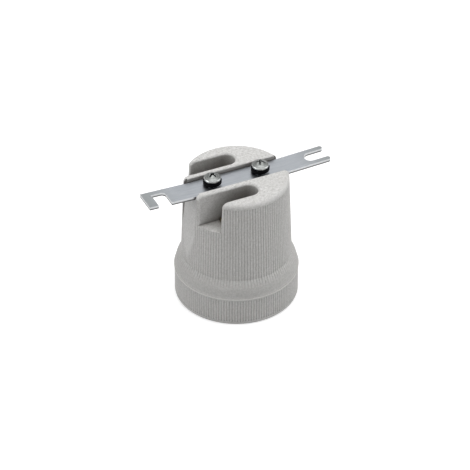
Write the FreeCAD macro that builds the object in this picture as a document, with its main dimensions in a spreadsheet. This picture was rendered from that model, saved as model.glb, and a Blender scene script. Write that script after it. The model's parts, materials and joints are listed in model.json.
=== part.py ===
import FreeCAD, Part
import math
import os
import re
import Sketcher

# A screw-base porcelain lamp holder that stands on its open rim.
# Origin: on the axis, in the plane of the rim. +Z runs up to the mounting bracket,
# +X along the bracket towards its forked end, and the two wire channels open towards -X.

SIZES = {
    # Porcelain body, outside
    "body_height": 50.5,
    "rim_radius": 22.5,
    "rim_round": 0.8,
    "seam_height": 11.3,
    "seam_width": 0.5,
    "seam_proud": 0.15,
    "shoulder_start": 10.3,
    "shoulder_arc": 13.5,
    "shoulder_step": 2.4,
    "neck_draft": 2.1,
    "top_round": 1.8,
    # Fine upright ribs round the neck and the band below the seam
    "neck_ribs": 120,
    "band_ribs": 144,
    "rib_depth": 0.24,
    "rib_land": 0.4,
    "rib_inset": 0.02,
    "rib_fade_depth": 0.04,
    "neck_rib_foot": 3.9,
    "neck_rib_fade": 1.3,
    "neck_rib_end": 2.2,
    "band_rib_foot": 1.4,
    "band_rib_end": 0.8,
    # Porcelain body, inside
    "skirt_wall": 4.1,
    "mouth_depth": 9.0,
    "cavity_gap": 0.4,
    "floor_thickness": 5.0,
    # Seat of the bracket across the top
    "groove_depth": 2.7,
    "groove_gap": 0.3,
    "recess_half_width": 5.3,
    "recess_depth": 1.9,
    "recess_foot_depth": 0.05,
    "recess_foot_margin": 2.0,
    # Wire channels either side of the bracket
    "ridge_width": 2.2,
    "lobe_wall": 5.4,
    "channel_depth": 12.5,
    "near_channel_end": 0.1,
    "far_channel_end": 0.6,
    "flare_inset": 1.7,
    "flare_radius": 2.4,
    "channel_edge_round": 0.8,
    "groove_edge_round": 0.4,
    # Mounting bracket
    "strip_length": 71.0,
    "strip_width": 8.8,
    "strip_thickness": 1.2,
    "strip_flat": 35.5,
    "arm_rise": 2.1,
    "fork_width": 5.0,
    "fork_depth": 8.5,
    "tine_round": 0.85,
    "hook_notch": 0.6,
    "hook_slot_width": 5.1,
    "hook_slot_depth": 6.8,
    "hook_slot_round": 1.6,
    "tongue_width": 3.4,
    # Bracket screws, spring washers and square nuts
    "screw_spacing": 18.8,
    "screw_shank": 1.95,
    "screw_tip": 0.6,
    "screw_head": 3.1,
    "screw_head_height": 2.2,
    "screw_head_crown": 0.7,
    "shank_gap": 0.3,
    "thread_gap": 0.05,
    "cross_arm": 1.7,
    "cross_width": 0.75,
    "cross_depth": 1.3,
    "washer_radius": 3.35,
    "washer_section": 1.2,
    "washer_rise": 1.2,
    "washer_split": 20.0,
    "nut_width": 7.0,
    "nut_height": 3.2,
    "nut_gap": 0.2,
    # Screw shell for the lamp's cap
    "thread_root": 13.35,
    "shell_sheet": 0.4,
    "shell_inset": 0.6,
    "lug_rise": 2.6,
    "lug_width": 7.0,
    "lug_reach": 5.6,
    # Terminals on the channel floors
    "plate_gap": 0.3,
    "plate_tail": 3.4,
    "plate_thickness": 1.2,
    "clamp_pitch": 6.6,
    "clamp_shank": 1.7,
    "clamp_length": 4.6,
    "clamp_head": 2.8,
    "clamp_head_height": 2.1,
    "clamp_washer_width": 5.6,
    "clamp_washer_height": 1.0,
    "turning_gap": 0.06,
    "relief_gap": 0.5,
    # Rivets
    "rivet_shank": 1.2,
    "rivet_gap": 0.1,
    "rivet_head": 2.2,
    "rivet_head_height": 0.7,
    # Centre contact
    "contact_width": 6.0,
    "contact_sheet": 0.4,
    "contact_rock_gap": 0.25,
    "contact_foot": 2.2,
    "contact_drop": 5.4,
    "contact_pad": 2.2,
    "contact_lip": 1.0,
}


def shoulder_radius(z):
    return (f"(rim_radius - shoulder_arc + sqrt(shoulder_arc ^ 2 - ({z} - shoulder_start) ^ 2))")


def neck_radius(z):
    return f"({NECK_BASE_RADIUS} - ({z} - {SHOULDER_TOP}) * tan(neck_draft))"


# Places worked out from the sizes
NECK_BASE_RADIUS = "(rim_radius - shoulder_step)"
SHOULDER_TOP = ("(shoulder_start + sqrt(shoulder_arc ^ 2"
                " - (shoulder_arc - shoulder_step) ^ 2))")
NECK_TOP_RADIUS = neck_radius("body_height")
NECK_RIB_FOOT = "(seam_height + neck_rib_foot)"
NECK_RIB_FULL = f"({NECK_RIB_FOOT} + neck_rib_fade)"
NECK_RIB_TOP = "(body_height - neck_rib_end)"
BAND_RIB_TOP = "(seam_height - band_rib_end)"
MOUTH_RADIUS = "(rim_radius - skirt_wall)"
GROOVE_FLOOR = "(body_height - groove_depth)"
STRIP_TOP = f"({GROOVE_FLOOR} + strip_thickness)"
CHANNEL_FLOOR = "(body_height - channel_depth)"
CHANNEL_INNER = "(strip_width / 2 + groove_gap + ridge_width)"
CHANNEL_OUTER = f"({NECK_TOP_RADIUS} - lobe_wall)"
CHANNEL_OFFSET = f"(({CHANNEL_INNER} + {CHANNEL_OUTER}) / 2)"
PLATE_WIDTH = f"({CHANNEL_OUTER} - {CHANNEL_INNER} - 2 * plate_gap)"
FLARE_START = f"(sqrt({NECK_TOP_RADIUS} ^ 2 - {CHANNEL_OUTER} ^ 2) - flare_inset)"
CEILING = f"({CHANNEL_FLOOR} - floor_thickness)"
CAVITY_RADIUS = "(thread_root + shell_sheet + cavity_gap)"
SHELL_TOP = f"({CEILING} - lug_rise)"
HEAD_SEAT = f"({STRIP_TOP} + washer_section + washer_rise)"
NUT_SEAT = f"({CEILING} + nut_height + nut_gap)"
PLATE_TOP = f"({CHANNEL_FLOOR} + plate_thickness)"
CLAMP_WASHER_TOP = f"({PLATE_TOP} + clamp_washer_height)"
FOOT_TOP = f"({CEILING} - contact_rock_gap)"
BEYOND = "(2 * rim_radius)"

doc = FreeCAD.newDocument("LampHolder")
sheet = doc.addObject("Spreadsheet::Sheet", "Sizes")
for row, (name, value) in enumerate(SIZES.items(), 1):
    sheet.set(f"A{row}", name)
    sheet.set(f"B{row}", str(value))
    sheet.setAlias(f"B{row}", name)
doc.recompute()


def bound(expression):
    """The expression with every size's name turned into its cell of the sheet."""
    return re.sub(r"[a-z]\w+", lambda word: "Sizes." + word[0] if word[0] in SIZES else word[0],
                  expression)


def value_of(expression):
    return float(sheet.evalExpression(bound(expression).replace("Sizes.", "")))


def bind(thing, prop, expression):
    thing.setExpression(prop, bound(expression))


# Sketches

def origin_plane(body, role):
    return next(plane for plane in body.Origin.OriginFeatures if plane.Role == role)


def new_sketch(body, name, role, offset="0"):
    sketch = body.newObject("Sketcher::SketchObject", name)
    sketch.AttachmentSupport = [(origin_plane(body, role), "")]
    sketch.MapMode = "FlatFace"
    bind(sketch, "AttachmentOffset.Base.z", offset)
    return sketch


def fix(sketch, geometry, point, x, y):
    """Holds a point of the sketch at two bound distances from the origin."""
    for kind, expression in (("DistanceX", x), ("DistanceY", y)):
        if expression is None:
            continue
        number = sketch.addConstraint(
            Sketcher.Constraint(kind, -1, 1, geometry, point, value_of(expression)))
        bind(sketch, f"Constraints[{number}]", expression)


def vector(x, y):
    return FreeCAD.Vector(value_of(x), value_of(y), 0)


def add_outline(sketch, path):
    """A closed outline. Each corner is (x, y), or (x, y, centre x, centre y, turn) where an arc
    leaves it, and the turn is +1 for an arc that runs anticlockwise."""
    ends = []
    for index, corner in enumerate(path):
        after = path[(index + 1) % len(path)]
        start, end = vector(*corner[:2]), vector(*after[:2])
        if len(corner) == 2:
            geometry = sketch.addGeometry(Part.LineSegment(start, end), False)
            ends.append((geometry, 1, 2))
        else:
            centre = vector(corner[2], corner[3])
            first, last = (start, end) if corner[4] > 0 else (end, start)
            circle = Part.Circle(centre, FreeCAD.Vector(0, 0, 1), (start - centre).Length)
            angles = [math.atan2(p.y - centre.y, p.x - centre.x) for p in (first, last)]
            if angles[1] <= angles[0]:
                angles[1] += 2 * math.pi
            geometry = sketch.addGeometry(Part.ArcOfCircle(circle, *angles), False)
            ends.append((geometry, 1, 2) if corner[4] > 0 else (geometry, 2, 1))
            chord = end - start
            along_x = abs(chord.y) > abs(chord.x)
            fix(sketch, geometry, 3, corner[2] if along_x else None, None if along_x else corner[3])
    for index, (geometry, first, last) in enumerate(ends):
        fix(sketch, geometry, first, *path[index][:2])
        following = ends[(index + 1) % len(ends)]
        sketch.addConstraint(
            Sketcher.Constraint("Coincident", geometry, last, following[0], following[1]))


def add_circle(sketch, x, y, radius):
    circle = Part.Circle(vector(x, y), FreeCAD.Vector(0, 0, 1), value_of(radius))
    geometry = sketch.addGeometry(circle, False)
    fix(sketch, geometry, 3, x, y)
    number = sketch.addConstraint(Sketcher.Constraint("Radius", geometry, value_of(radius)))
    bind(sketch, f"Constraints[{number}]", radius)


def rectangle(x0, y0, x1, y1):
    return [(x0, y0), (x1, y0), (x1, y1), (x0, y1)]


# Features

def new_body(label):
    body = doc.addObject("PartDesign::Body", label)
    body.Label = label
    return body


def feature(body, kind, name, sketch):
    made = body.newObject("PartDesign::" + kind, name)
    made.Profile = sketch
    sketch.Visibility = False
    return made


def pad(body, name, sketch, length, both_ways=False):
    made = feature(body, "Pad", name, sketch)
    if both_ways:
        made.SideType = "Symmetric"
    bind(made, "Length", length)
    doc.recompute()
    return made


def pocket(body, name, sketch, depth, both_ways=False, along_normal=False):
    before = body.Tip.Shape.Volume
    made = feature(body, "Pocket", name, sketch)
    if both_ways:
        made.SideType = "Symmetric"
    made.Reversed = along_normal
    bind(made, "Length", depth)
    doc.recompute()
    if made.Shape.isNull() or made.Shape.Volume >= before:
        raise RuntimeError(f"{body.Label}: {name} cuts nothing")
    return made


def turn(body, kind, name, sketch):
    """A full turn of the sketch about the vertical axis: kind is Revolution or Groove."""
    made = feature(body, kind, name, sketch)
    made.ReferenceAxis = (sketch, ["V_Axis"])
    made.Angle = 360
    doc.recompute()
    return made


def round_edges(body, name, radius, wanted):
    """Rounds every edge of the body so far for which wanted(edge) is true."""
    base = body.Tip
    edges = [f"Edge{number}" for number, edge in enumerate(base.Shape.Edges, 1) if wanted(edge)]
    if not edges:
        raise RuntimeError(f"{body.Label}: {name} finds no edge")
    made = body.newObject("PartDesign::Fillet", name)
    made.Base = (base, edges)
    bind(made, "Radius", radius)
    doc.recompute()
    return made


def lies_at(edge, z, tolerance=0.01):
    box = edge.BoundBox
    return abs(box.ZMin - value_of(z)) < tolerance and abs(box.ZMax - value_of(z)) < tolerance


def is_top_cut(edge):
    """Whether the edge runs in the top face, apart from the arcs round the axis."""
    if not lies_at(edge, "body_height"):
        return False
    curve = edge.Curve
    return not isinstance(curve, Part.Circle) or curve.Center.x ** 2 + curve.Center.y ** 2 > 1


# Porcelain body

def make_plain_porcelain():
    """The body as it would be without ribs."""
    body = new_body("plain_porcelain")
    outer = new_sketch(body, "outer_profile", "XZ_Plane")
    add_outline(outer, [
        ("0", "0"),
        ("rim_radius", "0"),
        ("rim_radius", "shoulder_start", "rim_radius - shoulder_arc", "shoulder_start", 1),
        (NECK_BASE_RADIUS, SHOULDER_TOP),
        (NECK_TOP_RADIUS, "body_height"),
        ("0", "body_height"),
    ])
    turn(body, "Revolution", "outer_form", outer)
    round_edges(body, "top_edge_round", "top_round", lambda edge: lies_at(edge, "body_height"))
    round_edges(body, "rim_edge_round", "rim_round", lambda edge: lies_at(edge, "0"))

    seam = new_sketch(body, "seam_profile", "XZ_Plane")
    add_outline(seam, rectangle("rim_radius - 4 * seam_width", "seam_height - seam_width / 2",
                                "rim_radius + seam_proud", "seam_height + seam_width / 2"))
    turn(body, "Revolution", "mould_seam", seam)

    inside = new_sketch(body, "cavity_profile", "XZ_Plane")
    add_outline(inside, [
        ("0", "0"),
        (MOUTH_RADIUS, "0"),
        (MOUTH_RADIUS, "mouth_depth"),
        (CAVITY_RADIUS, "mouth_depth"),
        (CAVITY_RADIUS, CEILING),
        ("0", CEILING),
    ])
    turn(body, "Groove", "lamp_cavity", inside)

    groove = new_sketch(body, "groove_outline", "XY_Plane", "body_height")
    half = "(strip_width / 2 + groove_gap)"
    add_outline(groove, rectangle(f"-{BEYOND}", f"-{half}", BEYOND, half))
    pocket(body, "bracket_groove", groove, "groove_depth")

    recess = new_sketch(body, "recess_outlines", "XZ_Plane")
    floor = f"({NECK_TOP_RADIUS} - recess_depth)"
    foot_height = f"({SHOULDER_TOP} + recess_foot_margin)"
    foot = f"({neck_radius(foot_height)} - recess_foot_depth)"
    for side in ("", "-"):
        add_outline(recess, [
            (f"{side}{floor}", "body_height"),
            (f"{side}{foot}", foot_height),
            (f"{side}{BEYOND}", foot_height),
            (f"{side}{BEYOND}", "body_height"),
        ])
    pocket(body, "bracket_recesses", recess, "2 * recess_half_width", both_ways=True)

    channels = new_sketch(body, "channel_outlines", "XY_Plane", "body_height")
    for side, end, turning in (("-", "near_channel_end", -1), ("", "far_channel_end", 1)):
        add_outline(channels, [
            (f"-{BEYOND}", f"{side}{CHANNEL_INNER}"),
            (end, f"{side}{CHANNEL_INNER}", end, f"{side}{CHANNEL_OFFSET}", turning),
            (end, f"{side}{CHANNEL_OUTER}"),
            (f"-{FLARE_START}", f"{side}{CHANNEL_OUTER}",
             f"-{FLARE_START}", f"{side}({CHANNEL_OUTER} + flare_radius)", -turning),
            (f"-{FLARE_START} - flare_radius", f"{side}({CHANNEL_OUTER} + flare_radius)"),
            (f"-{FLARE_START} - flare_radius", f"{side}{BEYOND}"),
            (f"-{BEYOND}", f"{side}{BEYOND}"),
        ])
    pocket(body, "wire_channels", channels, "channel_depth")
    beside_groove = value_of("strip_width / 2 + groove_gap") + 0.01
    round_edges(body, "groove_edge_rounds", "groove_edge_round",
                lambda edge: is_top_cut(edge) and abs(edge.CenterOfMass.y) < beside_groove)
    round_edges(body, "channel_edge_rounds", "channel_edge_round",
                lambda edge: is_top_cut(edge) and abs(edge.CenterOfMass.y) > beside_groove + 1)
    return body


# Ribs

def rib_ring(z, radius, depth, count):
    """The corners of one level: for each rib the two ends of its land, then the root after it."""
    pitch = 2 * math.pi / count
    half_land = pitch * value_of("rib_land") / 2
    corners = []
    for number in range(count):
        middle = number * pitch
        for angle, reach in ((middle - half_land, radius), (middle + half_land, radius),
                             (middle + pitch / 2, radius - depth)):
            corners.append(FreeCAD.Vector(reach * math.cos(angle), reach * math.sin(angle), z))
    return corners


def flat_faces(points):
    """One face where the four points lie in a plane, otherwise two."""
    a, b, c, d = points
    normal = (b - a).cross(c - a)
    if abs(normal.dot(d - a)) < 1e-7 * normal.Length:
        return [Part.Face(Part.makePolygon([a, b, c, d, a]))]
    return [Part.Face(Part.makePolygon([a, b, c, a])), Part.Face(Part.makePolygon([a, c, d, a]))]


def block_round_ribs(levels, count):
    """A square block with a ribbed hole through levels of (height, radius, depth)."""
    half = value_of("rim_radius + skirt_wall")
    squares, rings, faces = [], [], []
    for z, radius, depth in levels:
        rings.append(rib_ring(z, radius, depth, count))
    for z in (levels[0][0], levels[-1][0]):
        squares.append([FreeCAD.Vector(x, y, z) for x, y in
                        ((-half, -half), (half, -half), (half, half), (-half, half))])
    for low, high in [*zip(rings, rings[1:]), squares]:
        for index in range(len(low)):
            after = (index + 1) % len(low)
            faces += flat_faces([low[index], low[after], high[after], high[index]])
    for square, ring in ((squares[0], rings[0]), (squares[1], rings[-1])):
        outlines = [Part.makePolygon(points + points[:1]) for points in (square, ring)]
        faces.append(Part.makeFace(outlines, "Part::FaceMakerBullseye"))
    shell = Part.Compound(faces)
    shell.sewShape()
    block = Part.Solid(shell.Shells[0])
    if block.Volume < 0:
        block.reverse()
    return block


def make_rib_gaps():
    """All that lies outside the ribs. A rib's depth is a fixed share of its radius, so that
    its flanks stay flat, and its land keeps just inside the plain form."""
    inset = value_of("rib_inset")
    share = value_of("rib_depth / rim_radius")
    neck = [(value_of(NECK_RIB_FOOT), value_of(shoulder_radius(NECK_RIB_FOOT)) - inset,
             value_of("rib_fade_depth"))]
    for height, radius in ((NECK_RIB_FULL, shoulder_radius(NECK_RIB_FULL)),
                           (SHOULDER_TOP, NECK_BASE_RADIUS),
                           (NECK_RIB_TOP, neck_radius(NECK_RIB_TOP))):
        reach = value_of(radius) - inset
        neck.append((value_of(height), reach, reach * share))
    reach = value_of("rim_radius") - inset
    band = [(value_of(height), reach, reach * share) for height in ("band_rib_foot", BAND_RIB_TOP)]
    gaps = doc.addObject("Part::Feature", "rib_gaps")
    gaps.Shape = Part.Compound([block_round_ribs(neck, int(value_of("neck_ribs"))),
                                block_round_ribs(band, int(value_of("band_ribs")))])
    return gaps


def make_porcelain_body(plain):
    body = doc.addObject("Part::Cut", "porcelain_body")
    body.Label = "porcelain_body"
    body.Base = plain
    body.Tool = make_rib_gaps()
    body.Refine = False
    doc.recompute()
    return body


# Mounting bracket

def make_bracket():
    body = new_body("mounting_bracket")
    side = new_sketch(body, "side_view", "XZ_Plane")
    tip_rise = "((strip_length - strip_flat) / 2 * tan(arm_rise))"
    top, under = STRIP_TOP, GROOVE_FLOOR
    add_outline(side, [
        ("-strip_flat / 2", under),
        ("strip_flat / 2", under),
        ("strip_length / 2", f"{under} + {tip_rise}"),
        ("strip_length / 2", f"{top} + {tip_rise}"),
        ("strip_flat / 2", top),
        ("-strip_flat / 2", top),
        ("-strip_length / 2", f"{top} + {tip_rise}"),
        ("-strip_length / 2", f"{under} + {tip_rise}"),
    ])
    pad(body, "cranked_strip", side, "strip_width", both_ways=True)

    cuts = new_sketch(body, "slots_and_holes", "XY_Plane")
    root = "(strip_length / 2 - fork_depth + fork_width / 2)"
    add_outline(cuts, [
        (root, "fork_width / 2", root, "0", 1),
        (root, "-fork_width / 2"),
        (BEYOND, "-fork_width / 2"),
        (BEYOND, "fork_width / 2"),
    ])
    left = "(tongue_width - strip_length / 2)"
    right = f"({left} + hook_slot_width)"
    depth = "(hook_slot_depth - strip_width / 2)"
    add_outline(cuts, [
        (left, "-strip_width"),
        (right, "-strip_width"),
        (right, f"{depth} - hook_slot_round", f"{right} - hook_slot_round",
         f"{depth} - hook_slot_round", 1),
        (f"{right} - hook_slot_round", depth),
        (left, depth, left, f"{depth} - hook_notch", 1),
        (left, f"{depth} - 2 * hook_notch"),
    ])
    for hand in ("-", ""):
        add_circle(cuts, f"{hand}screw_spacing / 2", "0", "screw_shank + shank_gap")
    pocket(body, "slots_cut_through", cuts, "2 * body_height", along_normal=True)
    end = value_of("strip_length / 2")
    round_edges(body, "tine_tips", "tine_round",
                lambda edge: edge.BoundBox.XMin > end - 0.1 and edge.BoundBox.YLength < 0.01)
    return body


# Bracket screws, spring washers and nuts

def add_cross(body, top, arm, width, depth):
    cross = new_sketch(body, "cross_recess", "XY_Plane", top)
    half = f"({width} / 2)"
    reach = f"({arm})"
    add_outline(cross, [
        (reach, f"-{half}"), (reach, half), (half, half),
        (half, reach), (f"-{half}", reach), (f"-{half}", half),
        (f"-{reach}", half), (f"-{reach}", f"-{half}"), (f"-{half}", f"-{half}"),
        (f"-{half}", f"-{reach}"), (half, f"-{reach}"), (half, f"-{half}"),
    ])
    pocket(body, "cross", cross, depth)


def place(body, x, y, z):
    for axis, expression in (("x", x), ("y", y), ("z", z)):
        bind(body, f"Placement.Base.{axis}", expression)


def make_screw(label, shank, length, head, head_height, crown):
    """A pan-head screw whose head seats at its own z = 0."""
    body = new_body(label)
    profile = new_sketch(body, "screw_profile", "XZ_Plane")
    add_outline(profile, [
        ("0", f"-{length}"),
        (f"{shank} * 0.7", f"-{length}"),
        (shank, f"-{length} + {shank} * 0.3"),
        (shank, "0"),
        (head, "0"),
        (head, f"{head_height} - {crown}", f"{head} - {crown}", f"{head_height} - {crown}", 1),
        (f"{head} - {crown}", head_height),
        ("0", head_height),
    ])
    turn(body, "Revolution", "turned_screw", profile)
    add_cross(body, head_height, "cross_arm", "cross_width", "cross_depth")
    return body


def make_bracket_screw(label, hand):
    length = f"({HEAD_SEAT} - {NUT_SEAT} + nut_height + screw_tip)"
    body = make_screw(label, "screw_shank", length, "screw_head", "screw_head_height",
                      "screw_head_crown")
    place(body, f"{hand}screw_spacing / 2", "0", HEAD_SEAT)


def make_spring_washer(label, hand):
    """A split ring of square section, sprung open by its rise."""
    body = new_body(label)
    section = new_sketch(body, "wire_section", "XZ_Plane")
    add_outline(section, rectangle("washer_radius - washer_section", "0",
                                   "washer_radius", "washer_section"))
    coil = feature(body, "AdditiveHelix", "sprung_ring", section)
    coil.ReferenceAxis = (section, ["V_Axis"])
    coil.Mode = "height-turns-growth"
    bind(coil, "Height", "washer_rise")
    bind(coil, "Turns", "1 - washer_split / 360")
    coil.Growth = 0
    doc.recompute()
    place(body, f"{hand}screw_spacing / 2", "0", STRIP_TOP)


def make_square_nut(label, hand):
    body = new_body(label)
    outline = new_sketch(body, "nut_outline", "XY_Plane")
    half = "nut_width / 2"
    add_outline(outline, rectangle(f"-{half}", f"-{half}", half, half))
    add_circle(outline, "0", "0", "screw_shank + thread_gap")
    pad(body, "nut_block", outline, "nut_height")
    place(body, f"{hand}screw_spacing / 2", "0", f"{NUT_SEAT} - nut_height")


# Screw shell

def make_screw_shell():
    """The shell's wall, with one lug left standing on it and bent in under the ceiling."""
    body = new_body("screw_shell")
    wall = new_sketch(body, "wall_profile", "XZ_Plane")
    outer = "(thread_root + shell_sheet)"
    add_outline(wall, rectangle("thread_root", "mouth_depth + shell_inset", outer, CEILING))
    turn(body, "Revolution", "drawn_wall", wall)

    half = "lug_width / 2"
    trimmed = new_sketch(body, "lug_sides", "XZ_Plane")
    add_outline(trimmed, rectangle(f"-{BEYOND}", SHELL_TOP, f"-{half}", f"{BEYOND}"))
    add_outline(trimmed, rectangle(half, SHELL_TOP, BEYOND, f"{BEYOND}"))
    pocket(body, "edge_beside_lug", trimmed, BEYOND, both_ways=True)
    opposite = new_sketch(body, "edge_opposite_lug", "XZ_Plane")
    add_outline(opposite, rectangle(f"-{BEYOND}", SHELL_TOP, BEYOND, f"{BEYOND}"))
    pocket(body, "edge_away_from_lug", opposite, BEYOND, along_normal=True)

    lug = new_sketch(body, "lug_outline", "XY_Plane", f"{CEILING} - shell_sheet")
    corner = f"sqrt({outer} ^ 2 - ({half}) ^ 2)"
    add_outline(lug, [
        (f"-{half}", "thread_root - lug_reach"),
        (half, "thread_root - lug_reach"),
        (half, corner, "0", "0", 1),
        (f"-{half}", corner),
    ])
    add_circle(lug, "far_channel_end", CHANNEL_OFFSET, "rivet_shank + rivet_gap")
    pad(body, "bent_lug", lug, "shell_sheet")


# Terminals

def make_terminal(label, side, end):
    """A brass plate on a channel floor, rounded like the channel's closed end."""
    body = new_body(label)
    outline = new_sketch(body, "plate_outline", "XY_Plane", CHANNEL_FLOOR)
    middle = f"{side}{CHANNEL_OFFSET}"
    half = f"{PLATE_WIDTH} / 2"
    tail = f"({end} - clamp_pitch - plate_tail)"
    add_outline(outline, [
        (tail, f"{middle} - {half}"),
        (end, f"{middle} - {half}", end, middle, 1),
        (end, f"{middle} + {half}"),
        (tail, f"{middle} + {half}"),
    ])
    add_circle(outline, end, middle, "rivet_shank + rivet_gap")
    add_circle(outline, f"{end} - clamp_pitch", middle, "clamp_shank + thread_gap")
    pad(body, "plate", outline, "plate_thickness")


def make_clamp(name, side, end):
    screw = make_screw(f"{name}_clamp_screw", "clamp_shank", "clamp_length", "clamp_head",
                       "clamp_head_height", "screw_head_crown")
    place(screw, f"{end} - clamp_pitch", f"{side}{CHANNEL_OFFSET}",
          f"{CLAMP_WASHER_TOP} + turning_gap")
    washer = new_body(f"{name}_clamp_washer")
    outline = new_sketch(washer, "washer_outline", "XY_Plane")
    half = "clamp_washer_width / 2"
    add_outline(outline, rectangle(f"-{half}", f"-{half}", half, half))
    add_circle(outline, "0", "0", "clamp_shank + turning_gap")
    pad(washer, "washer_plate", outline, "clamp_washer_height")
    place(washer, f"{end} - clamp_pitch", f"{side}{CHANNEL_OFFSET}", PLATE_TOP)


def make_rivet(label, side, end, under):
    """A rivet from the plate's top down through the porcelain floor to what hangs below it."""
    body = new_body(label)
    profile = new_sketch(body, "rivet_profile", "XZ_Plane")
    top = PLATE_TOP
    add_outline(profile, [
        ("0", f"{under} - rivet_head_height"),
        ("rivet_head", f"{under} - rivet_head_height"),
        ("rivet_head", under),
        ("rivet_shank", under),
        ("rivet_shank", top),
        ("rivet_head", top),
        ("rivet_head", f"{top} + rivet_head_height"),
        ("0", f"{top} + rivet_head_height"),
    ])
    turn(body, "Revolution", "headed_rivet", profile)
    place(body, end, f"{side}{CHANNEL_OFFSET}", "0")


def make_centre_contact():
    """A sprung leaf: its foot hangs on the rivet and its pad meets the cap's tip on the axis."""
    body = new_body("centre_contact")
    side = new_sketch(body, "leaf_profile", "YZ_Plane")
    foot_y = f"-{CHANNEL_OFFSET}"
    low = f"({FOOT_TOP} - contact_drop)"
    sheet_size = "contact_sheet"
    add_outline(side, [
        (f"{foot_y} - contact_foot", FOOT_TOP),
        (f"{foot_y} - contact_foot", f"{FOOT_TOP} - {sheet_size}"),
        (f"{foot_y} + contact_foot", f"{FOOT_TOP} - {sheet_size}"),
        ("-contact_pad", f"{low} - {sheet_size}"),
        ("contact_pad", f"{low} - {sheet_size}"),
        ("contact_pad + contact_lip", f"{low} + contact_lip - {sheet_size}"),
        ("contact_pad + contact_lip", f"{low} + contact_lip"),
        ("contact_pad", low),
        ("-contact_pad", low),
        (f"{foot_y} + contact_foot", FOOT_TOP),
    ])
    pad(body, "bent_leaf", side, "contact_width", both_ways=True)
    hole = new_sketch(body, "foot_hole", "XY_Plane", CEILING)
    add_circle(hole, "near_channel_end", foot_y, "rivet_shank + rivet_gap")
    pocket(body, "rivet_hole", hole, "2 * contact_sheet + contact_rock_gap")


def add_fixing_holes(body):
    """Holes of the porcelain for the bracket screws, nuts, clamp screws and rivets."""
    shanks = new_sketch(body, "through_holes", "XY_Plane", "body_height")
    for hand in ("-", ""):
        add_circle(shanks, f"{hand}screw_spacing / 2", "0", "screw_shank + shank_gap")
    for side, end in (("-", "near_channel_end"), ("", "far_channel_end")):
        add_circle(shanks, end, f"{side}{CHANNEL_OFFSET}", "rivet_shank + rivet_gap")
    pocket(body, "screw_and_rivet_holes", shanks, f"body_height - {CEILING} + nut_gap")

    nuts = new_sketch(body, "nut_pockets", "XY_Plane", CEILING)
    half = "(nut_width / 2 + nut_gap)"
    for hand in ("-", ""):
        centre = f"{hand}screw_spacing / 2"
        add_outline(nuts, rectangle(f"{centre} - {half}", f"-{half}", f"{centre} + {half}", half))
    pocket(body, "nut_seats", nuts, "nut_height + nut_gap", along_normal=True)

    relief = new_sketch(body, "relief_holes", "XY_Plane", CHANNEL_FLOOR)
    for side, end in (("-", "near_channel_end"), ("", "far_channel_end")):
        add_circle(relief, f"{end} - clamp_pitch", f"{side}{CHANNEL_OFFSET}",
                   "clamp_shank + relief_gap")
    pocket(body, "clamp_relief", relief, "clamp_length - clamp_washer_height - plate_thickness"
           " + relief_gap")


plain_porcelain = make_plain_porcelain()
add_fixing_holes(plain_porcelain)
porcelain = make_porcelain_body(plain_porcelain)
make_bracket()
for end_name, hand in (("hook", "-"), ("fork", "")):
    make_bracket_screw(f"bracket_screw_{end_name}_end", hand)
    make_spring_washer(f"spring_washer_{end_name}_end", hand)
    make_square_nut(f"square_nut_{end_name}_end", hand)
make_screw_shell()
for pole, side, end in (("live", "-", "near_channel_end"), ("neutral", "", "far_channel_end")):
    make_terminal(f"{pole}_terminal", side, end)
    make_clamp(pole, side, end)
make_rivet("contact_rivet", "-", "near_channel_end",
           f"({FOOT_TOP} - contact_sheet - contact_rock_gap)")
make_rivet("shell_rivet", "", "far_channel_end", f"({CEILING} - shell_sheet)")
make_centre_contact()
doc.recompute()

# Every object is checked before anything is written
for thing in doc.Objects:
    if "Invalid" in thing.State or "Error" in thing.State:
        raise RuntimeError(f"{thing.Label} failed: {thing.State}")
bodies = [thing for thing in doc.Objects
          if thing.isDerivedFrom("PartDesign::Body") and thing != plain_porcelain]
bodies.append(porcelain)
os.makedirs("parts", exist_ok=True)
for body in bodies:
    shape = body.Shape
    if shape.isNull() or not shape.isValid():
        raise RuntimeError(f"{body.Label} has no valid shape")
    print(body.Label, len(shape.Solids), round(shape.Volume, 1))
for body in bodies:
    body.Shape.exportStep(f"parts/{body.Label}.step")
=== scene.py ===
import json
import math

import bmesh
import bpy
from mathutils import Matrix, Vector


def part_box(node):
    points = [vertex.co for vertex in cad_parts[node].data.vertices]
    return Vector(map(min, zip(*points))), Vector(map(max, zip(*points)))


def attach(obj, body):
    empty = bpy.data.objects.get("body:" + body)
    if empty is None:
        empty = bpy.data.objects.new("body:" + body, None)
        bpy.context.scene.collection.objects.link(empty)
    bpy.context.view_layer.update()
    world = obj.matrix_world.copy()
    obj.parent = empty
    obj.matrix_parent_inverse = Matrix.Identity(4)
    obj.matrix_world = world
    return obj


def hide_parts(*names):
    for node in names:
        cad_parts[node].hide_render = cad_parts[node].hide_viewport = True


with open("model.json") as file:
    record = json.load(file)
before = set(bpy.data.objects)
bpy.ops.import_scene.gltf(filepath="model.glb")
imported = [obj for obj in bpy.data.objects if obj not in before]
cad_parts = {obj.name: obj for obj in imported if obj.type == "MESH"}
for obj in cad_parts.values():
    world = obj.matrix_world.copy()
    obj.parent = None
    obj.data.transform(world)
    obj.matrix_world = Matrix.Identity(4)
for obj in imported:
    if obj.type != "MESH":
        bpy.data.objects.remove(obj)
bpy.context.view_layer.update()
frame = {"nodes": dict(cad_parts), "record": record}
record = frame["record"]
nodes = frame["nodes"]

# Lengths are in metres. Colours are linear red, green, blue and alpha.

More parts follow.
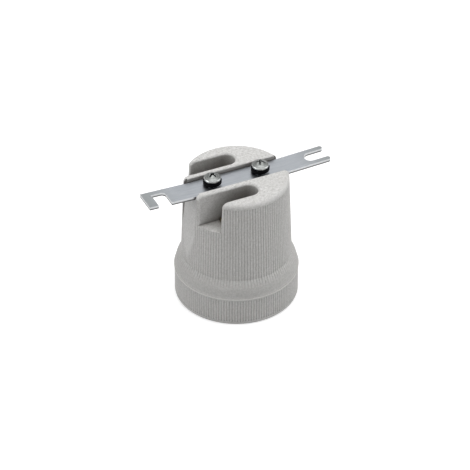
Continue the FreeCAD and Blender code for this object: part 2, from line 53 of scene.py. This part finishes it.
# The photograph's camera: a long lens that looks down on the holder past its hooked end.
# SCALE_AT_AIM is in pixels a metre at the point that the camera is aimed at, AIM_HEIGHT above
# the rim on the axis, and AIM_PIXEL is where that point shows.
PHOTO_SIDE = 470
CAMERA_TURN = math.radians(24.99)
CAMERA_DROP = math.radians(36.71)
CAMERA_DISTANCE = 1.056
CAMERA_CLIP = (0.01, 20.0)
AIM_HEIGHT = 0.0255
SCALE_AT_AIM = 2770.0
AIM_PIXEL = (236.37, 230.60)
SENSOR_WIDTH = 36.0

# Floor and surroundings: how far each is lifted to white for the eye alone
WHITE = (1, 1, 1, 1)
FLOOR_SIDE = 3.0
FLOOR_LEVEL = -0.00005
FLOOR_COLOUR = (0.62, 0.62, 0.62, 1)
FLOOR_LIFT = 0.55
SURROUND = 0.13

# Square soft boxes: direction from the holder, side and power
LAMP_DISTANCE = 0.9
LAMPS = {"overhead_box": ((0.05, 0.0, 1.0), 1.2, 11.4),
         "left_box": ((-1.0, 0.1, 0.25), 0.6, 2.1),
         "right_box": ((0.95, -0.5, 0.25), 0.6, 2.4)}

# Screws: shank radius, pitch and depth of the thread, radius and height of the head
BRACKET_SCREW = {"shank": 0.00195, "pitch": 0.0007, "thread": 0.00032, "head": 0.0031,
                 "height": 0.0022}
CLAMP_SCREW = {"shank": 0.0017, "pitch": 0.0006, "thread": 0.00028, "head": 0.0028,
               "height": 0.0021}
# Each screw's size, and how far its cross is turned, in radians
SCREWS = {"bracket_screw_hook_end": (BRACKET_SCREW, 0.5),
          "bracket_screw_fork_end": (BRACKET_SCREW, 1.05),
          "live_clamp_screw": (CLAMP_SCREW, 0.2),
          "neutral_clamp_screw": (CLAMP_SCREW, 0.9)}
# What all screws share: points round a row, rows a turn of the thread, and how the thread runs
# in at the point and out below the head
FACETS = 64
THREAD_STEPS = 9
THREAD_START, THREAD_RUN_IN, THREAD_RUN_OUT = 0.0001, 0.0012, 0.0006
RIDGE_TOP, RIDGE_FLANK = 1.35, 2.7
POINT_SHARE, POINT_EDGE_SHARE = 0.35, 0.92
NECK_DROP, NECK_FLARE = 0.00004, 0.0001
SEAT_CHAMFER = 0.00012
HEAD_FLANGE = 0.00028
HEAD_ROUND_OUT, HEAD_ROUND_UP = 0.0006, 0.00075
ROUND_STEPS, DOME_STEPS = 8, 44

# Pressed cross: its arms widen at the middle and rise towards their ends
CROSS_ARM = 0.0017
CROSS_HALF_WIDTH = 0.00036
CROSS_DEPTH = 0.0012
CROSS_MIDDLE, CROSS_WIDENING = 0.0006, 0.35
CROSS_WALL = 0.00016
CROSS_RISE, CROSS_RISE_POWER = 0.0007, 0.6

# Screw shell: the rolled thread between the plain ends of its wall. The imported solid's lug is
# cut off just above the wall, and its points that lie near the cut are set down on the wall.
SHELL_PITCH = 0.003629
SHELL_CREST, SHELL_ROOT = 0.01225, 0.01335
SHELL_SHEET = 0.0004
SHELL_FOOT, SHELL_EDGE = 0.0096, 0.0304
SHELL_PLAIN, SHELL_RUNOUT = 0.0006, 0.0022
SHELL_AROUND, SHELL_ROWS = 144, 84
LUG_CUT, LUG_NEAR = 0.00002, 0.00001

# Centre contact: how far its bends are rounded, and which edges are bends
LEAF_BEND, LEAF_BEND_STEPS = 0.0006, 6
LEAF_WIDTH_LEAST = 0.003
LEAF_BEND_ANGLES = (math.radians(8), math.radians(75))
ALONG_X = 0.99
FLAT_ANGLE = math.radians(1)

MERGE_DISTANCE = 1e-6
SMOOTH_ANGLE = math.radians(38)

# Strip: the middle is flat and both arms rise from it
STRIP_FLAT_HALF = 0.01775
ARM_SLOPE = 0.03667
STRIP_UNDERSIDE = 0.0478
STRIP_THICKNESS = 0.0012
STRIP_DARKER_FROM, STRIP_DARKER_FULL = 0.024, 0.034

# Porcelain: the seam's height, the painted highlight line on it, the clean line beside it, the
# belt with its painted shade, and where the channels' painted shade starts
SEAM_HEIGHT = 0.0113
SEAM_HIGHLIGHT_SPAN = (0.0002, 0.00045)
SEAM_CLEAN = (0.0004, 0.0009)
SEAM_STEP = (SEAM_HEIGHT, SEAM_HEIGHT + 0.0001)
BELT_START = (SEAM_HEIGHT + 0.0002, SEAM_HEIGHT + 0.0012)
BELT_END = (0.0145, 0.0195)
CHANNEL_SHADE_START = (0.009, SEAM_HEIGHT)

# Porcelain colours: among them the belt's painted shade, the seam's painted highlight, dust with
# painted shade for the grooves, and painted shade for corners and deep channels
CLAY, CLAY_PALE = (0.63, 0.625, 0.615, 1), (0.68, 0.675, 0.665, 1)
CLAY_MOTTLE = (0.40, 0.395, 0.38, 1)
CLAY_GRAIN = (0.50, 0.49, 0.475, 1)
CLAY_PITS = (0.38, 0.37, 0.355, 1)
CLAY_BELT_SHADE = (0.78, 0.78, 0.775, 1)
CLAY_SEAM_HIGHLIGHT = (0.72, 0.71, 0.69, 1)
CLAY_DUST_AND_SHADE = (0.30, 0.29, 0.275, 1)
CLAY_CORNER_SHADE = (0.17, 0.165, 0.155, 1)
CLAY_DEPTH_SHADE = (0.13, 0.12, 0.11, 1)

# Metal colours: the strip's cut sides hold a painted highlight and painted shade, the screws are
# lighter round the rim with painted shade on top and in the recess, and the sheet metal has
# painted shade in narrow places
ZINC, ZINC_CLOUD = (0.345, 0.363, 0.39, 1), (0.295, 0.312, 0.335, 1)
ZINC_LINE = (0.42, 0.435, 0.45, 1)
ZINC_END = (0.25, 0.263, 0.262, 1)
ZINC_TORN_AND_SHADE, ZINC_SHEARED_AND_HIGHLIGHT = (0.10, 0.10, 0.10, 1), (0.52, 0.53, 0.54, 1)
SCREW_LIT_SIDE, SCREW_SHADED_TOP = (0.50, 0.514, 0.51, 1), (0.13, 0.136, 0.132, 1)
SCREW_PATCH = (0.22, 0.225, 0.22, 1)
SCREW_HOLLOW_SHADE = (0.02, 0.02, 0.02, 1)
BLACKING, BLACKING_RUBBED = (0.004, 0.004, 0.005, 1), (0.014, 0.013, 0.013, 1)
NICKEL, NICKEL_STAIN = (0.74, 0.72, 0.66, 1), (0.60, 0.55, 0.45, 1)
BRASS, BRASS_STAIN = (0.50, 0.40, 0.24, 1), (0.30, 0.23, 0.13, 1)
SHEET_DEPTH_SHADE = (0.06, 0.055, 0.05, 1)


# Camera

def make_camera():
    forward = Vector((math.sin(CAMERA_TURN) * math.cos(CAMERA_DROP),
                      math.cos(CAMERA_TURN) * math.cos(CAMERA_DROP),
                      -math.sin(CAMERA_DROP)))
    data = bpy.data.cameras.new("photo_camera")
    data.sensor_width = SENSOR_WIDTH
    data.lens = SCALE_AT_AIM * CAMERA_DISTANCE * SENSOR_WIDTH / PHOTO_SIDE
    data.shift_x = (PHOTO_SIDE / 2 - AIM_PIXEL[0]) / PHOTO_SIDE
    data.shift_y = (AIM_PIXEL[1] - PHOTO_SIDE / 2) / PHOTO_SIDE
    data.clip_start, data.clip_end = CAMERA_CLIP
    camera = bpy.data.objects.new("photo_camera", data)
    bpy.context.scene.collection.objects.link(camera)
    camera.location = Vector((0, 0, AIM_HEIGHT)) - forward * CAMERA_DISTANCE
    camera.rotation_mode = "QUATERNION"
    camera.rotation_quaternion = forward.to_track_quat("-Z", "Y")
    bpy.context.scene.camera = camera


# Node helpers

class Nodes:
    """A material's node tree, with short ways to add and join its nodes."""

    def __init__(self, tree):
        self.tree = tree
        tree.nodes.clear()

    def add(self, kind, **values):
        node = self.tree.nodes.new(kind)
        for name, value in values.items():
            if name in node.inputs:
                self.feed(node.inputs[name], value)
            else:
                setattr(node, name, value)
        return node

    def feed(self, socket, value):
        """Join an output to the socket, or set the socket to a plain value."""
        if isinstance(value, bpy.types.NodeSocket):
            self.tree.links.new(value, socket)
        else:
            socket.default_value = value

    def math(self, operation, *values):
        node = self.add("ShaderNodeMath", operation=operation)
        for socket, value in zip(node.inputs, values):
            self.feed(socket, value)
        return node.outputs[0]

    def mix_colour(self, factor, first, second, blend="MIX"):
        node = self.add("ShaderNodeMix", data_type="RGBA", blend_type=blend)
        for index, value in ((0, factor), (6, first), (7, second)):
            self.feed(node.inputs[index], value)
        return node.outputs[2]

    def place(self):
        """The point on the piece, in the piece's own frame."""
        return self.add("ShaderNodeTexCoord").outputs["Object"]

    def facing_up(self):
        """How far the surface faces up: 1 on top, 0 on a wall, -1 below."""
        return self.parts(self.add("ShaderNodeTexCoord").outputs["Normal"])[2]

    def parts(self, vector):
        """The three numbers of a vector."""
        return self.add("ShaderNodeSeparateXYZ", Vector=vector).outputs

    def noise(self, place, scale, detail, roughness=0.5):
        return self.add("ShaderNodeTexNoise", Vector=place, Scale=scale, Detail=detail,
                        Roughness=roughness).outputs["Fac"]

    def spread(self, value, low, high, new_low=0.0, new_high=1.0):
        """The value, moved from the range low to high to the new one and held inside it."""
        node = self.add("ShaderNodeMapRange")
        for index, number in enumerate((value, low, high, new_low, new_high)):
            self.feed(node.inputs[index], number)
        return node.outputs[0]

    def stretch(self, place, scale):
        return self.add("ShaderNodeMapping", Vector=place, Scale=scale).outputs[0]

    def bump(self, height, distance, strength, normal):
        return self.add("ShaderNodeBump", Strength=strength, Distance=distance, Height=height,
                        Normal=normal).outputs[0]

    def soft_edge(self, radius):
        return self.add("ShaderNodeBevel", samples=6, Radius=radius).outputs[0]

    def openness(self, reach, alone=True):
        """1 on open surfaces, less in grooves and corners that are narrower than the reach,
        and beside other pieces unless alone."""
        return self.add("ShaderNodeAmbientOcclusion", samples=8, only_local=alone,
                        Distance=reach).outputs["AO"]

    def surface(self, shader, kind="ShaderNodeOutputMaterial"):
        self.tree.links.new(shader, self.add(kind).inputs["Surface"])

    def principled(self, colour, roughness, normal, metallic=0.0, **constants):
        shader = self.add("ShaderNodeBsdfPrincipled")
        self.feed(shader.inputs["Base Color"], colour)
        self.feed(shader.inputs["Roughness"], roughness)
        self.feed(shader.inputs["Normal"], normal)
        shader.inputs["Metallic"].default_value = metallic
        for name, value in constants.items():
            shader.inputs[name.replace("_", " ")].default_value = value
        self.surface(shader.outputs[0])


def new_material(name):
    material = bpy.data.materials.new(name)
    material.use_nodes = True
    return material, Nodes(material.node_tree)


# Materials

def make_porcelain():
    """Unglazed fired clay: warm grey, grainy on top, dust and painted shade in its grooves,
    painted shade on the belt, in its corners and deep channels, and a painted highlight line
    along the mould seam."""
    material, n = new_material("fired_porcelain")
    place = n.place()
    height = n.parts(place)[2]
    cloud = n.noise(place, scale=90.0, detail=3.0)
    grain = n.noise(place, scale=2600.0, detail=2.0, roughness=0.7)
    pits = n.noise(place, scale=1050.0, detail=2.0, roughness=0.75)
    blotches = n.noise(place, scale=1500.0, detail=3.0, roughness=0.75)
    dust = n.noise(place, scale=1900.0, detail=2.0, roughness=0.6)
    topside = n.spread(n.facing_up(), 0.8, 0.97)
    off_seam = n.math("ABSOLUTE", n.math("SUBTRACT", height, SEAM_HEIGHT))
    seam = n.spread(off_seam, *SEAM_HIGHLIGHT_SPAN, 0.8, 0.0)
    above = n.spread(height, *SEAM_STEP, 0.62, 1.0)
    away = n.math("MULTIPLY", n.spread(off_seam, *SEAM_CLEAN), above)
    belt = n.math("MULTIPLY", n.spread(height, *BELT_START),
                  n.spread(height, *BELT_END, 1.0, 0.0))

    base = n.mix_colour(n.spread(cloud, 0.35, 0.7), CLAY, CLAY_PALE)
    mottled = n.mix_colour(n.spread(blotches, 0.4, 0.62, 0.0, 0.55), base, CLAY_MOTTLE)
    grained = n.mix_colour(n.spread(grain, 0.35, 0.68, 0.0, 0.4), mottled, CLAY_GRAIN)
    pitted = n.math("MULTIPLY", n.spread(pits, 0.48, 0.66), topside)
    topped = n.mix_colour(n.math("MULTIPLY", pitted, 0.7), grained, CLAY_PITS)
    # Painted shade over the belt above the seam.
    belt_shaded = n.mix_colour(belt, topped, CLAY_BELT_SHADE, "MULTIPLY")
    # A painted highlight along the mould seam.
    seam_highlighted = n.mix_colour(seam, belt_shaded, CLAY_SEAM_HIGHLIGHT)
    # Dust and painted shade in the narrow grooves between ribs, patchy and kept off the seam.
    patchy = n.spread(dust, 0.3, 0.7, 0.6, 1.0)
    grooves = n.math("MULTIPLY", n.spread(n.openness(0.0008), 0.4, 0.95, 0.98, 0.0),
                     n.math("MULTIPLY", patchy, away))
    dust_and_groove_shade = n.mix_colour(grooves, seam_highlighted, CLAY_DUST_AND_SHADE)
    # Painted shade in corners and beside other pieces, weaker below the seam.
    corners = n.spread(n.openness(0.0026, alone=False), 0.35, 0.8, 0.6, 0.0)
    shaded = n.mix_colour(n.math("MULTIPLY", corners, above), dust_and_groove_shade, CLAY_CORNER_SHADE)
    # Painted shade in the deep channels and cavities, fading out below the seam.
    depth_shade = n.spread(n.openness(0.011, alone=False), 0.25, 0.78, 0.86, 0.0)
    channel_shade = n.math("MULTIPLY", depth_shade, n.spread(height, *CHANNEL_SHADE_START))
    colour = n.mix_colour(channel_shade, shaded, CLAY_DEPTH_SHADE)
    rise = n.math("ADD", n.math("MULTIPLY", grain, 0.4), n.math("MULTIPLY", pits, topside))
    normal = n.bump(rise, distance=0.00016, strength=0.8, normal=n.soft_edge(0.00022))
    n.principled(colour, n.spread(cloud, 0.3, 0.7, 0.5, 0.62), normal, Specular_IOR_Level=0.4)
    return material


def cut_side_bands(n, place):
    """On the strip's cut sides: 1 in the bright sheared band above, which carries a painted
    highlight,
    0 in the torn band below, which carries painted shade, and how far the surface is such a side."""
    along, _, height = n.parts(place)
    out = n.math("MAXIMUM", n.math("SUBTRACT", n.math("ABSOLUTE", along), STRIP_FLAT_HALF), 0.0)
    rise = n.math("MULTIPLY", out, ARM_SLOPE)
    level = n.math("SUBTRACT", n.math("SUBTRACT", height, rise), STRIP_UNDERSIDE)
    share = n.spread(n.math("DIVIDE", level, STRIP_THICKNESS), 0.36, 0.46)
    side = n.spread(n.math("ABSOLUTE", n.facing_up()), 0.4, 0.6, 1.0, 0.0)
    return share, side


def make_strip_steel():
    """Zinc-plated strip: drawn lines along X, clouded plate, darker towards its ends, and sheared
    and torn cut sides with a painted highlight above and painted shade below.
    """
    material, n = new_material("zinc_plated_strip")
    place = n.place()
    lines = n.noise(n.stretch(place, (0.05, 1.0, 1.0)), scale=2600.0, detail=3.0, roughness=0.6)
    cloud = n.noise(n.stretch(place, (0.4, 1.0, 1.0)), scale=300.0, detail=3.0)
    tone = n.mix_colour(n.spread(cloud, 0.35, 0.7), ZINC, ZINC_CLOUD)
    lined = n.mix_colour(n.spread(lines, 0.4, 0.7, 0.0, 0.5), tone, ZINC_LINE)
    # Darker towards the strip's ends.
    out = n.math("ABSOLUTE", n.parts(place)[0])
    at_end = n.spread(out, STRIP_DARKER_FROM, STRIP_DARKER_FULL, 0.0, 0.75)
    darkened_to_ends = n.mix_colour(at_end, lined, ZINC_END)
    sheared, side = cut_side_bands(n, place)
    # The sheared band carries a painted highlight and the torn band painted shade.
    cut = n.mix_colour(sheared, ZINC_TORN_AND_SHADE, ZINC_SHEARED_AND_HIGHLIGHT)
    colour = n.mix_colour(side, darkened_to_ends, cut)
    normal = n.bump(lines, distance=0.00002, strength=0.4, normal=n.soft_edge(0.00015))
    n.principled(colour, n.spread(cloud, 0.3, 0.7, 0.28, 0.38), normal, metallic=1.0)
    return material


def make_screw_steel():
    """Bright zinc-plated screw: painted light, lighter round its rim with painted shade on its
    top, patches of duller plate, and painted shade in its recess."""
    material, n = new_material("bright_zinc_screw")
    place = n.place()
    patches = n.noise(place, scale=620.0, detail=2.0, roughness=0.6)
    cloud = n.noise(place, scale=2400.0, detail=2.0)
    # Painted light: the rim's side lighter and the top in painted shade.
    shaded_top = n.spread(n.facing_up(), 0.6, 0.8)
    bright = n.mix_colour(shaded_top, SCREW_LIT_SIDE, SCREW_SHADED_TOP)
    tone = n.mix_colour(n.spread(patches, 0.45, 0.65, 0.0, 0.6), bright, SCREW_PATCH)
    # Painted shade in the cross recess.
    hollow_shade = n.spread(n.openness(0.0012), 0.3, 0.9, 0.95, 0.0)
    colour = n.mix_colour(hollow_shade, tone, SCREW_HOLLOW_SHADE)
    rough = n.math("ADD", n.spread(patches, 0.35, 0.7, 0.2, 0.3), n.math("MULTIPLY", shaded_top, 0.12))
    normal = n.bump(cloud, distance=0.00003, strength=0.5, normal=n.soft_edge(0.00015))
    n.principled(colour, rough, normal, metallic=1.0)
    return material


def make_black_steel():
    """Blackened spring steel with thin brown-grey rubbing."""
    material, n = new_material("black_spring_steel")
    cloud = n.noise(n.place(), scale=900.0, detail=3.0)
    colour = n.mix_colour(n.spread(cloud, 0.55, 0.8, 0.0, 0.6), BLACKING, BLACKING_RUBBED)
    normal = n.bump(cloud, distance=0.00002, strength=0.4, normal=n.soft_edge(0.00012))
    n.principled(colour, n.spread(cloud, 0.3, 0.7, 0.5, 0.65), normal, Specular_IOR_Level=0.04)
    return material


def make_sheet_metal(name, colour, stain, roughness):
    """Stamped brass or nickelled brass with tarnish clouds, and painted shade in narrow places.
    """
    material, n = new_material(name)
    place = n.place()
    cloud = n.noise(place, scale=420.0, detail=4.0, roughness=0.6)
    fine = n.noise(place, scale=4000.0, detail=2.0)
    stained = n.mix_colour(n.spread(cloud, 0.42, 0.75, 0.0, 0.7), colour, stain)
    # Painted shade in narrow places and beside other pieces.
    depth_shade = n.spread(n.openness(0.004, alone=False), 0.2, 0.8, 0.9, 0.0)
    tone = n.mix_colour(depth_shade, stained, SHEET_DEPTH_SHADE)
    rough = n.spread(cloud, 0.3, 0.75, roughness - 0.06, roughness + 0.14)
    normal = n.bump(fine, distance=0.00001, strength=0.4, normal=n.soft_edge(0.0001))
    n.principled(tone, rough, normal, metallic=1.0)
    return material


def make_materials():
    return {
        "porcelain": make_porcelain(),
        "zinc_strip": make_strip_steel(),
        "bright_zinc": make_screw_steel(),
        "black_steel": make_black_steel(),
        "nickel_shell": make_sheet_metal("nickelled_brass", NICKEL, NICKEL_STAIN, 0.26),
        "brass": make_sheet_metal("stamped_brass", BRASS, BRASS_STAIN, 0.34),
    }


def slot_of(node):
    return next(entry["material_slot"] for entry in record["subparts"] if entry["node"] == node)


def body_of(node):
    return next(body for body, members in record["behaviour"]["bodies"].items()
                if node in members)


def dress_nodes(materials):
    for entry in record["subparts"]:
        mesh = nodes[entry["node"]].data
        mesh.materials.clear()
        mesh.materials.append(materials[entry["material_slot"]])


# Pieces that stand for plain solids: threads, pressed crosses and rounded bends

def stand_in(name, node, vertices, faces, materials):
    """A smooth mesh shown in place of a solid, on the same body and with the same finish."""
    mesh = bpy.data.meshes.new(name)
    mesh.from_pydata(vertices, [], faces)
    mesh.update()
    mesh.materials.append(materials[slot_of(node)])
    piece = bpy.data.objects.new(name, mesh)
    bpy.context.scene.collection.objects.link(piece)
    mesh.shade_smooth()
    mesh.set_sharp_from_angle(angle=SMOOTH_ANGLE)
    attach(piece, body_of(node))
    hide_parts(node)


def clamp(value):
    return min(1.0, max(0.0, value))


def ring_faces(first, second, count):
    """The faces between two rings of points, each given by the index of its first point."""
    return [(first + i, first + (i + 1) % count, second + (i + 1) % count, second + i)
            for i in range(count)]


def edited_copy(node):
    mesh = bmesh.new()
    mesh.from_mesh(nodes[node].data)
    return mesh


def lists_of(mesh, start=0):
    """The points and faces of an edited copy, with the faces counting from start."""
    mesh.verts.index_update()
    vertices = [tuple(vertex.co) for vertex in mesh.verts]
    faces = [tuple(start + vertex.index for vertex in face.verts) for face in mesh.faces]
    mesh.free()
    return vertices, faces


def in_order(vertices, faces):
    """The same points and faces, in an order that is the same each run."""
    order = sorted(range(len(vertices)), key=lambda index: vertices[index])
    rank = {old: new for new, old in enumerate(order)}
    turned = []
    for face in faces:
        ranks = [rank[index] for index in face]
        first = ranks.index(min(ranks))
        turned.append(tuple(ranks[first:] + ranks[:first]))
    return [vertices[index] for index in order], sorted(turned)


def cross_cut(x, y):
    """How deep the pressed cross goes at a point of the head."""
    along, across = max(abs(x), abs(y)), min(abs(x), abs(y))
    half = CROSS_HALF_WIDTH + CROSS_WIDENING * max(0.0, CROSS_MIDDLE - along)
    side = clamp((half - across) / CROSS_WALL)
    reach = clamp((CROSS_ARM - along) / CROSS_RISE)
    return CROSS_DEPTH * side * reach ** CROSS_RISE_POWER


# A row is a function of the angle that gives (radius, height above the head's seat).

def plain_row(radius, z):
    return lambda angle: (radius, z)


def thread_row(size, z, fullness):
    shank, root = size["shank"], size["shank"] - size["thread"]

    def row(angle):
        phase = (z / size["pitch"] - angle / (2 * math.pi)) % 1.0
        ridge = clamp(RIDGE_TOP - RIDGE_FLANK * abs(phase - 0.5))
        return root + (shank - root) * ridge * fullness, z
    return row


def crossed_row(radius, z):
    return lambda angle: (radius, z - cross_cut(radius * math.cos(angle),
                                                radius * math.sin(angle)))


def shank_rows(size, low):
    """Rows from the point at height low up to the head, with a thread that runs in and out."""
    root = size["shank"] - size["thread"]
    rows = [plain_row(POINT_SHARE * root, low), plain_row(POINT_EDGE_SHARE * root, low)]
    steps = int(-low / size["pitch"] * THREAD_STEPS)
    for step in range(steps):
        z = low + THREAD_START + (-low - THREAD_START) * step / steps
        run_in = clamp((z - low - THREAD_START) / THREAD_RUN_IN)
        rows.append(thread_row(size, z, run_in * clamp(-z / THREAD_RUN_OUT)))
    return rows + [plain_row(root, -NECK_DROP), plain_row(root + NECK_FLARE, 0.0)]


def head_rows(size):
    """Rows from the head's seat over its rounded rim to the middle of its domed top."""
    head, height = size["head"], size["height"]
    rows = [plain_row(head - SEAT_CHAMFER, 0.0), plain_row(head, SEAT_CHAMFER)]
    top = head - HEAD_ROUND_OUT
    crown = HEAD_FLANGE + HEAD_ROUND_UP
    for step in range(ROUND_STEPS + 1):
        turn = math.pi / 2 * step / ROUND_STEPS
        rows.append(plain_row(top + HEAD_ROUND_OUT * math.cos(turn),
                              HEAD_FLANGE + HEAD_ROUND_UP * math.sin(turn)))
    for step in range(1, DOME_STEPS):
        radius = top * (1 - step / DOME_STEPS)
        rows.append(crossed_row(radius, crown + (height - crown) * (1 - (radius / top) ** 2)))
    return rows


def make_screw(node, size, turned, materials):
    low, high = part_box(node)
    x, y, seat = (low[0] + high[0]) / 2, (low[1] + high[1]) / 2, high[2] - size["height"]
    rows = shank_rows(size, low[2] - seat) + head_rows(size)
    vertices, faces = [], []
    for row in rows:
        for i in range(FACETS):
            angle = 2 * math.pi * i / FACETS
            radius, z = row(angle)
            vertices.append((x + radius * math.cos(angle + turned),
                             y + radius * math.sin(angle + turned), seat + z))
    last = (len(rows) - 1) * FACETS
    for first in range(0, last, FACETS):
        faces += ring_faces(first, first + FACETS, FACETS)
    faces.append(tuple(reversed(range(FACETS))))
    faces.append(tuple(range(last, last + FACETS)))
    stand_in(node + "_cut_thread", node, vertices, faces, materials)


def make_screws(materials):
    for node, (size, turned) in SCREWS.items():
        make_screw(node, size, turned, materials)


def shell_radius(angle, z):
    """The inside of the shell's wall: a round-bottomed right-hand thread that runs out."""
    from_end = min(z - SHELL_FOOT, SHELL_EDGE - z)
    strength = clamp((from_end - SHELL_PLAIN) / SHELL_RUNOUT)
    strength = strength * strength * (3 - 2 * strength)
    wave = 0.5 - 0.5 * math.cos(2 * math.pi * z / SHELL_PITCH - angle)
    return SHELL_ROOT - (SHELL_ROOT - SHELL_CREST) * strength * wave


def shell_wall():
    """The wall's points and faces: up the inside, over the edge and down the outside."""
    vertices, faces = [], []
    heights = [SHELL_FOOT + (SHELL_EDGE - SHELL_FOOT) * row / (SHELL_ROWS - 1)
               for row in range(SHELL_ROWS)]
    for outward, levels in ((0.0, heights), (SHELL_SHEET, heights[::-1])):
        for z in levels:
            for i in range(SHELL_AROUND):
                angle = 2 * math.pi * i / SHELL_AROUND
                radius = shell_radius(angle, z) + outward
                vertices.append((radius * math.cos(angle), radius * math.sin(angle), z))
    rings = 2 * SHELL_ROWS
    for ring in range(rings):
        after = (ring + 1) % rings
        faces += [face[::-1] for face in ring_faces(ring * SHELL_AROUND, after * SHELL_AROUND,
                                                    SHELL_AROUND)]
    return vertices, faces


def shell_lug(start):
    """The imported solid's lug above the wall, closed below and set down on the wall's edge."""
    lug = edited_copy("screw_shell")
    cut = SHELL_EDGE + LUG_CUT
    bmesh.ops.bisect_plane(lug, geom=list(lug.verts) + list(lug.edges) + list(lug.faces),
                           plane_co=(0, 0, cut), plane_no=(0, 0, 1), clear_inner=True,
                           dist=MERGE_DISTANCE)
    bmesh.ops.remove_doubles(lug, verts=lug.verts, dist=MERGE_DISTANCE)
    bmesh.ops.holes_fill(lug, edges=[edge for edge in lug.edges if edge.is_boundary])
    for vertex in lug.verts:
        if vertex.co.z < cut + LUG_NEAR:
            vertex.co.z = SHELL_EDGE
    return lists_of(lug, start)


def make_shell(materials):
    vertices, faces = shell_wall()
    lug_vertices, lug_faces = shell_lug(len(vertices))
    stand_in("rolled_screw_shell", "screw_shell", vertices + lug_vertices, faces + lug_faces,
             materials)


def is_bend(edge):
    """Whether an edge of the leaf runs across it and folds the sheet."""
    along = (edge.verts[1].co - edge.verts[0].co).normalized()
    return (abs(along.x) > ALONG_X and edge.calc_length() > LEAF_WIDTH_LEAST
            and len(edge.link_faces) == 2
            and LEAF_BEND_ANGLES[0] < edge.calc_face_angle(0) < LEAF_BEND_ANGLES[1])


def make_leaf(materials):
    """The springy centre contact, with its bends rounded as a folded sheet has them."""
    leaf = edited_copy("centre_contact")
    bmesh.ops.remove_doubles(leaf, verts=leaf.verts, dist=MERGE_DISTANCE)
    bmesh.ops.dissolve_limit(leaf, angle_limit=FLAT_ANGLE, verts=leaf.verts, edges=leaf.edges)
    bmesh.ops.bevel(leaf, geom=[edge for edge in leaf.edges if is_bend(edge)],
                    offset=LEAF_BEND, segments=LEAF_BEND_STEPS, affect="EDGES", profile=0.5,
                    clamp_overlap=True)
    bmesh.ops.remove_doubles(leaf, verts=leaf.verts, dist=MERGE_DISTANCE)
    bmesh.ops.triangulate(leaf, faces=leaf.faces)
    vertices, faces = in_order(*lists_of(leaf))
    stand_in("folded_contact_leaf", "centre_contact", vertices, faces, materials)


# Floor, surroundings and lamps

def seen_rays(n):
    """1 for the rays that reach the eye straight, by a mirror or through glass."""
    path = n.add("ShaderNodeLightPath").outputs
    reflected = n.math("MAXIMUM", path["Is Glossy Ray"], path["Is Transmission Ray"])
    return n.math("MAXIMUM", path["Is Camera Ray"], reflected)


def make_floor():
    half = FLOOR_SIDE / 2
    mesh = bpy.data.meshes.new("floor")
    corners = [(-half, -half, FLOOR_LEVEL), (half, -half, FLOOR_LEVEL),
               (half, half, FLOOR_LEVEL), (-half, half, FLOOR_LEVEL)]
    mesh.from_pydata(corners, [], [(0, 1, 2, 3)])
    floor = bpy.data.objects.new("floor", mesh)
    bpy.context.scene.collection.objects.link(floor)
    material, n = new_material("pale_floor")
    card = n.add("ShaderNodeBsdfDiffuse", Color=FLOOR_COLOUR).outputs[0]
    lift = n.add("ShaderNodeEmission", Color=WHITE,
                 Strength=n.math("MULTIPLY", seen_rays(n), FLOOR_LIFT)).outputs[0]
    both = n.add("ShaderNodeAddShader")
    n.feed(both.inputs[0], card)
    n.feed(both.inputs[1], lift)
    n.surface(both.outputs[0])
    mesh.materials.append(material)


def make_surroundings():
    world = bpy.data.worlds.new("white_studio")
    world.use_nodes = True
    bpy.context.scene.world = world
    n = Nodes(world.node_tree)
    strength = n.spread(seen_rays(n), 0.0, 1.0, SURROUND, 1.0)
    background = n.add("ShaderNodeBackground", Color=WHITE, Strength=strength)
    n.surface(background.outputs[0], "ShaderNodeOutputWorld")


def make_lamp(name, direction, side, power):
    data = bpy.data.lights.new(name, "AREA")
    data.shape = "SQUARE"
    data.size = side
    data.energy = power
    lamp = bpy.data.objects.new(name, data)
    bpy.context.scene.collection.objects.link(lamp)
    towards = Vector(direction).normalized()
    lamp.location = towards * LAMP_DISTANCE + Vector((0, 0, AIM_HEIGHT))
    lamp.rotation_mode = "QUATERNION"
    lamp.rotation_quaternion = towards.to_track_quat("Z", "Y")


def make_lamps():
    for name, (direction, side, power) in LAMPS.items():
        make_lamp(name, direction, side, power)


make_camera()
finishes = make_materials()
dress_nodes(finishes)
make_screws(finishes)
make_shell(finishes)
make_leaf(finishes)
make_floor()
make_surroundings()
make_lamps()
bpy.context.scene.view_settings.view_transform = "Standard"
